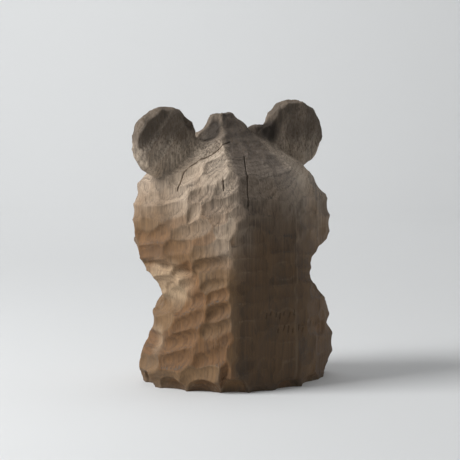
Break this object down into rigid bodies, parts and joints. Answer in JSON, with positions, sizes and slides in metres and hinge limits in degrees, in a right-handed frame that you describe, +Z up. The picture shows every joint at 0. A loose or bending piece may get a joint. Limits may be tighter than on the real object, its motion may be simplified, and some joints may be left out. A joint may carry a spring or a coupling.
{
  "type": "carved wooden bear",
  "caption": "Seated bear carved in one block of wood, gouge-dressed all over, with disc ears and a peaked crown. Stands on its flat underside.",
  "frame": {"origin": "on the underside, below the middle of the outline", "axes": "+Z up from the underside to the ears, -Y the way the face looks, +X the bear's own left"},
  "size_m": [0.2524, 0.1894, 0.3148],
  "materials": {
    "wood": "weathered grey-brown, unvarnished, gouge-cut"
  },
  "bodies": {
    "root": {"carved_bear": "wood"}
  },
  "joints": []
}
